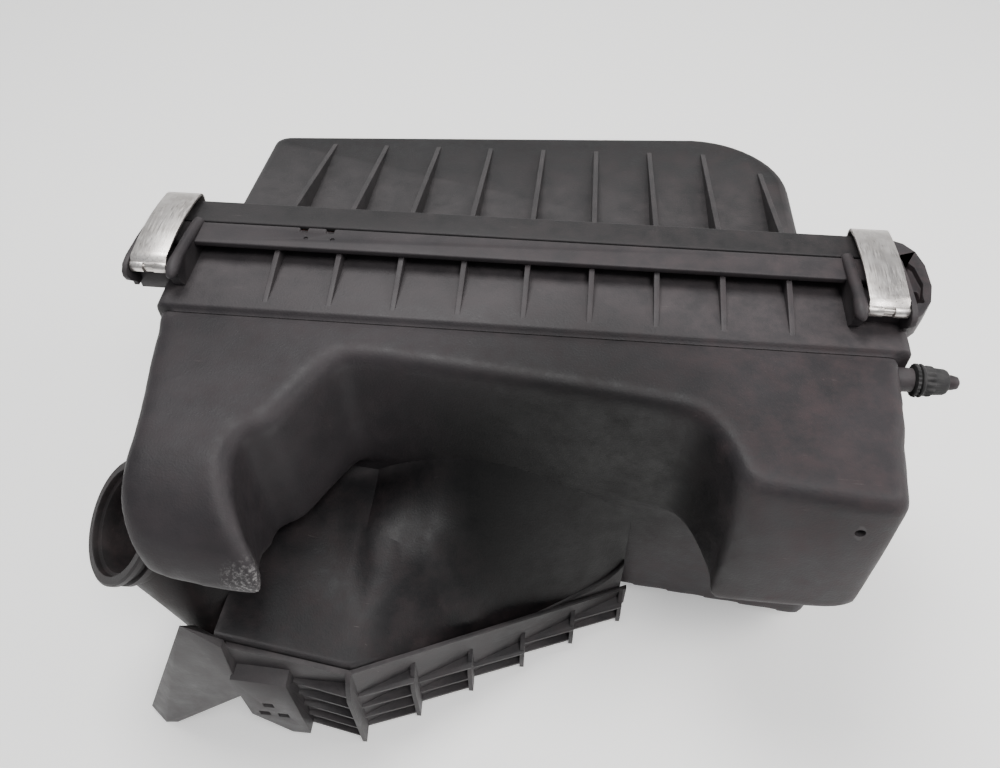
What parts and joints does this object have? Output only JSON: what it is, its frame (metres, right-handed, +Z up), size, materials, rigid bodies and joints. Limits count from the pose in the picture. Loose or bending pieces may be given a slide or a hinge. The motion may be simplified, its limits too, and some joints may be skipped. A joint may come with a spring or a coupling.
{
  "type": "air filter housing",
  "caption": "Moulded air filter box: ribbed lower case with scooped underside, hinged ribbed cover, steel spring clips, intake neck and pleated element.",
  "frame": {"origin": "centre of the bounding box at bench level, the housing lying on its rear side with the long front wall up", "axes": "+X along the long side towards the sump box and isolator stud, +Y from the underside towards the cover, +Z up from the rear side to the front wall with the clips"},
  "size_m": [0.3798, 0.2936, 0.1929],
  "materials": {
    "case_plastic": "textured",
    "duct_plastic": "textured",
    "tray_plastic": "textured",
    "neck_plastic": "satin",
    "grommet_rubber": "matte",
    "screw_steel": "black zinc",
    "cover_plastic": "textured",
    "outlet_plastic": "satin",
    "seal_urethane": "matte",
    "filter_paper": "matte",
    "clip_steel": "brushed",
    "pin_steel": "satin"
  },
  "bodies": {
    "case": {"lower_case": "case_plastic", "intake_duct": "duct_plastic", "rib_tray": "tray_plastic", "intake_neck": "neck_plastic", "element_seal": "seal_urethane", "element_pleats": "filter_paper", "clip_pin_left": "pin_steel", "clip_pin_right": "pin_steel", "mount_grommet": "grommet_rubber"},
    "cover": {"outlet_seal": "grommet_rubber", "outlet_screw_1": "screw_steel", "outlet_screw_2": "screw_steel", "outlet_screw_3": "screw_steel", "outlet_screw_4": "screw_steel", "upper_cover": "cover_plastic", "outlet_duct": "outlet_plastic"},
    "left_clip": {"clip_left": "clip_steel"},
    "right_clip": {"clip_right": "clip_steel"}
  },
  "joints": [
    {"name": "cover_hinge", "type": "hinge", "parent": "case", "child": "cover", "pos_m": [0.00243, 0.02125, 0.005], "axis": [-1, 0, 0], "range_deg": [0, 50]},
    {"name": "clip_left_swing", "type": "hinge", "parent": "case", "child": "left_clip", "pos_m": [-0.16607, -0.00825, 0.1865], "axis": [1, 0, 0], "range_deg": [0, 110]},
    {"name": "clip_right_swing", "type": "hinge", "parent": "case", "child": "right_clip", "pos_m": [0.15593, -0.00825, 0.1865], "axis": [1, 0, 0], "range_deg": [0, 110]}
  ],
  "couplings": [
    {"joint": "clip_left_swing", "follows": "cover_hinge", "ratio": 2.2},
    {"joint": "clip_right_swing", "follows": "cover_hinge", "ratio": 2.2}
  ]
}
